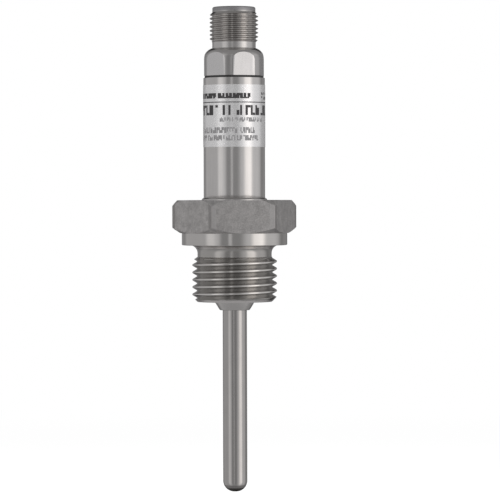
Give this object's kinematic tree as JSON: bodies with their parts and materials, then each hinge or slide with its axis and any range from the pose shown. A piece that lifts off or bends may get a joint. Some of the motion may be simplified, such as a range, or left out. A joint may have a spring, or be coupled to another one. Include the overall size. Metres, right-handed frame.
{
  "type": "explosion-proof temperature sensor",
  "caption": "Slim stainless screw-in temperature probe with a round threaded plug, a labelled sleeve, a wrench hexagon, a pipe thread and a thin closed tube.",
  "frame": {"origin": "on the axis, in the plane of the ring-shaped face under the flange band that seals on the process", "axes": "+Z along the axis towards the plug, -Z along the probe into the process; -Y is the side the picture shows, +X is to its right"},
  "size_m": [0.0308, 0.0292, 0.1199],
  "materials": {
    "turned_steel": "fine turned, hexagon bead blasted",
    "housing_steel": "fine turned",
    "sleeve_steel": "polished",
    "tube_steel": "ground",
    "label_foil": null,
    "seal_rubber": "matt",
    "carrier_plastic": "moulded",
    "contact_gold": "gold plated",
    "sleeving": "smooth",
    "chip_ceramic": "ceramic with a glass cover",
    "lead_metal": "drawn",
    "splice_metal": "crimped",
    "wire_insulation": "extruded",
    "filling": "packed powder",
    "resin": "cast resin"
  },
  "bodies": {
    "root": {"process_fitting": "turned_steel", "connector_housing": "housing_steel", "body_sleeve": "sleeve_steel", "probe_tube": "tube_steel", "rating_label": "label_foil", "housing_seal": "seal_rubber", "carrier_o_ring": "seal_rubber", "contact_carrier": "carrier_plastic", "contact_pin_1": "contact_gold", "contact_pin_2": "contact_gold", "contact_pin_3": "contact_gold", "contact_pin_4": "contact_gold", "insulating_tube": "sleeving", "sensor_chip": "chip_ceramic", "chip_lead_1": "lead_metal", "chip_lead_2": "lead_metal", "splice_1": "splice_metal", "splice_2": "splice_metal", "lead_wire_1": "wire_insulation", "lead_wire_2": "wire_insulation", "lead_wire_3": "wire_insulation", "lead_wire_4": "wire_insulation", "tip_filling": "filling", "potting_compound": "resin"}
  },
  "joints": []
}
